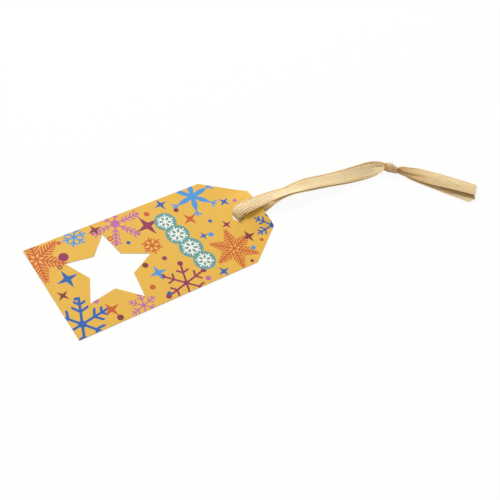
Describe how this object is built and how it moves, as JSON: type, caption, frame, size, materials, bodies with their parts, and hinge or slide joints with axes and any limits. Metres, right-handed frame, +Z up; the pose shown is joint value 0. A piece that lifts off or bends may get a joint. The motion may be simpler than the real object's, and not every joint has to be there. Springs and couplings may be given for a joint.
{
  "type": "gift tag",
  "caption": "Long card gift tag with a star window and shouldered end, on a ribbon looped through its hole, tied in a knot with two cut tails.",
  "frame": {"origin": "middle of the card's outline, on the surface that the tag lies on", "axes": "+X along the card from the plain end to the hole end, +Y across the card, +Z up out of the printed face"},
  "size_m": [0.2513, 0.0789, 0.0061],
  "materials": {
    "card": "matt printed card",
    "ribbon": "woven twill tape"
  },
  "bodies": {
    "card": {"tag_card": "card"},
    "bight": {"ribbon_bight": "ribbon"},
    "loop": {"ribbon_front_leg": "ribbon", "ribbon_back_leg": "ribbon", "ribbon_knot": "ribbon"},
    "front_tail": {"ribbon_front_tail": "ribbon"},
    "back_tail": {"ribbon_back_tail": "ribbon"}
  },
  "joints": [
    {"name": "ribbon_turn", "type": "hinge", "parent": "card", "child": "bight", "pos_m": [0.048, 0, 0.0007], "axis": [0, 0, 1], "range_deg": [-20, 20]},
    {"name": "ribbon_swing", "type": "hinge", "parent": "bight", "child": "loop", "pos_m": [0.068, 0.0018, 0.0027], "axis": [0, -1, 0], "range_deg": [-80, 90], "deforming": ["ribbon_bight"]},
    {"name": "front_tail_fan", "type": "hinge", "parent": "loop", "child": "front_tail", "pos_m": [0.15232, -0.01401, 0.0007], "axis": [0, 0, 1], "range_deg": [-20, 25]},
    {"name": "back_tail_fan", "type": "hinge", "parent": "loop", "child": "back_tail", "pos_m": [0.15232, -0.01401, 0.0002], "axis": [0, 0, 1], "range_deg": [-25, 20]}
  ]
}
